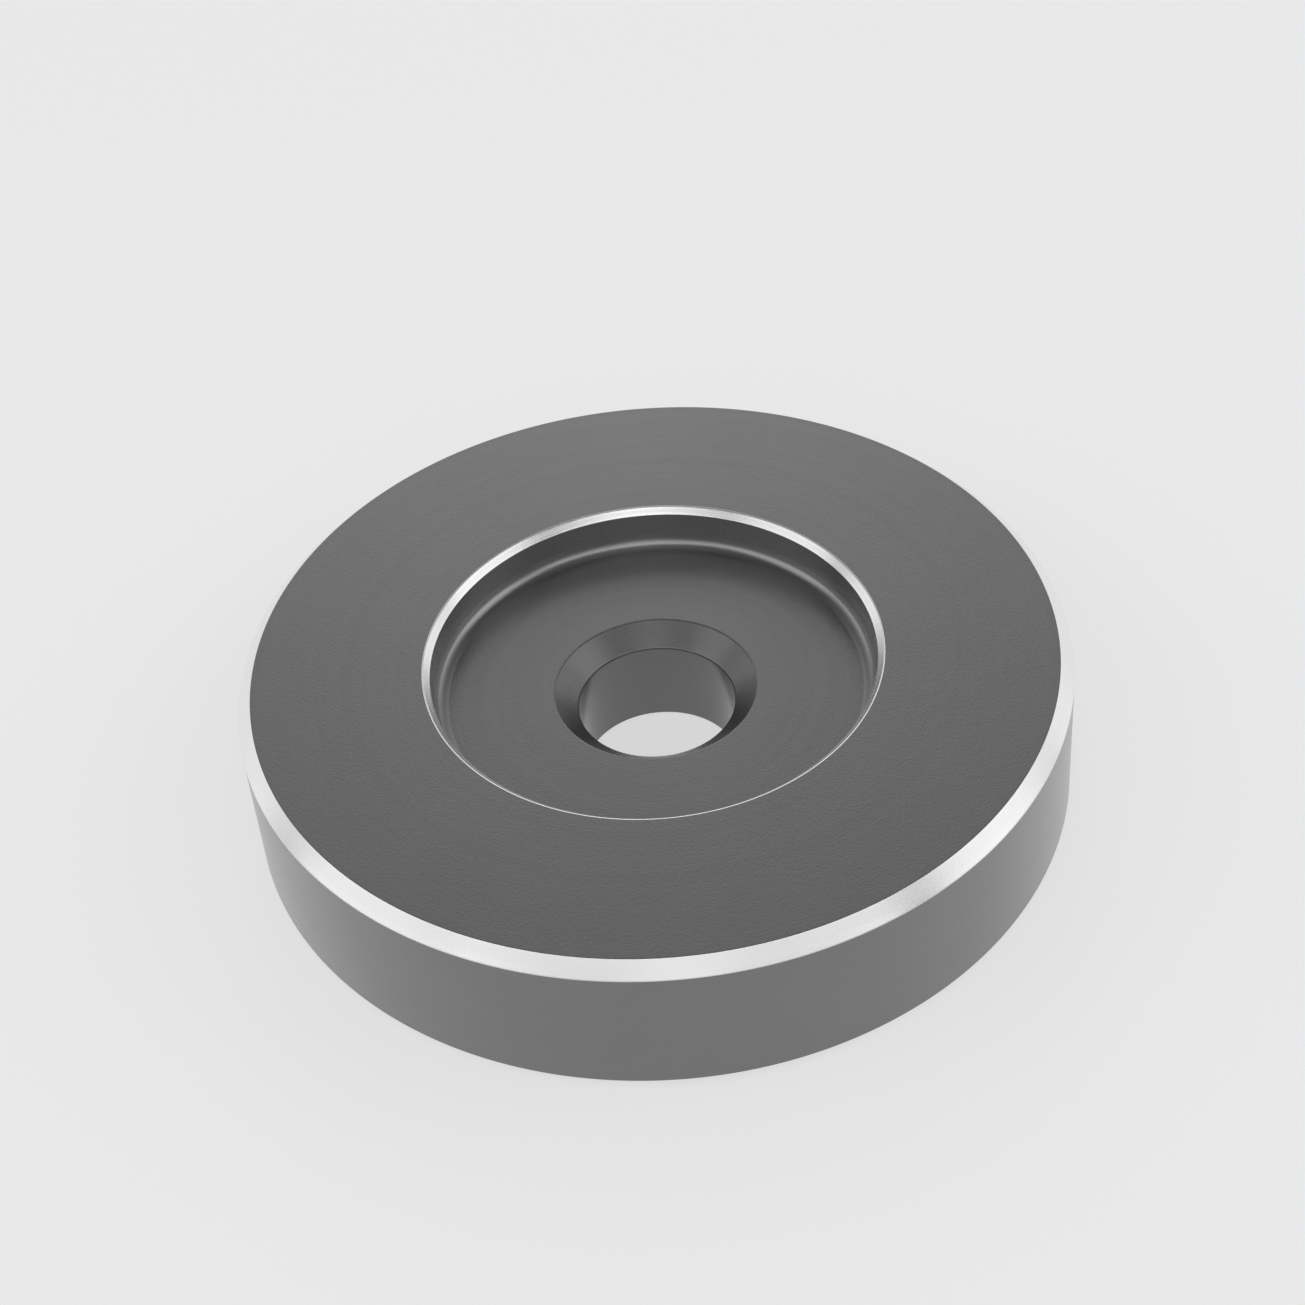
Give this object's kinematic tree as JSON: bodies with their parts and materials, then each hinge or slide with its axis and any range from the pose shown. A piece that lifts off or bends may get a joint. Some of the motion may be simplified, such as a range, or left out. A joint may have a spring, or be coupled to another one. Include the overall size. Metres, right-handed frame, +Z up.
{
  "type": "record spindle adapter",
  "caption": "Round turned aluminium puck with a dished top and a central hole, which centres a large-hole 45 rpm record on a small turntable spindle.",
  "frame": {"origin": "centre of the flat underside, on the axis of the spindle hole", "axes": "+Z up along the axis, out of the dished top; X and Y are arbitrary, since the part is round"},
  "size_m": [0.038, 0.038, 0.0074],
  "materials": {
    "adapter": "satin grey, with bright turned bevels"
  },
  "bodies": {
    "root": {"adapter": "adapter"}
  },
  "joints": []
}
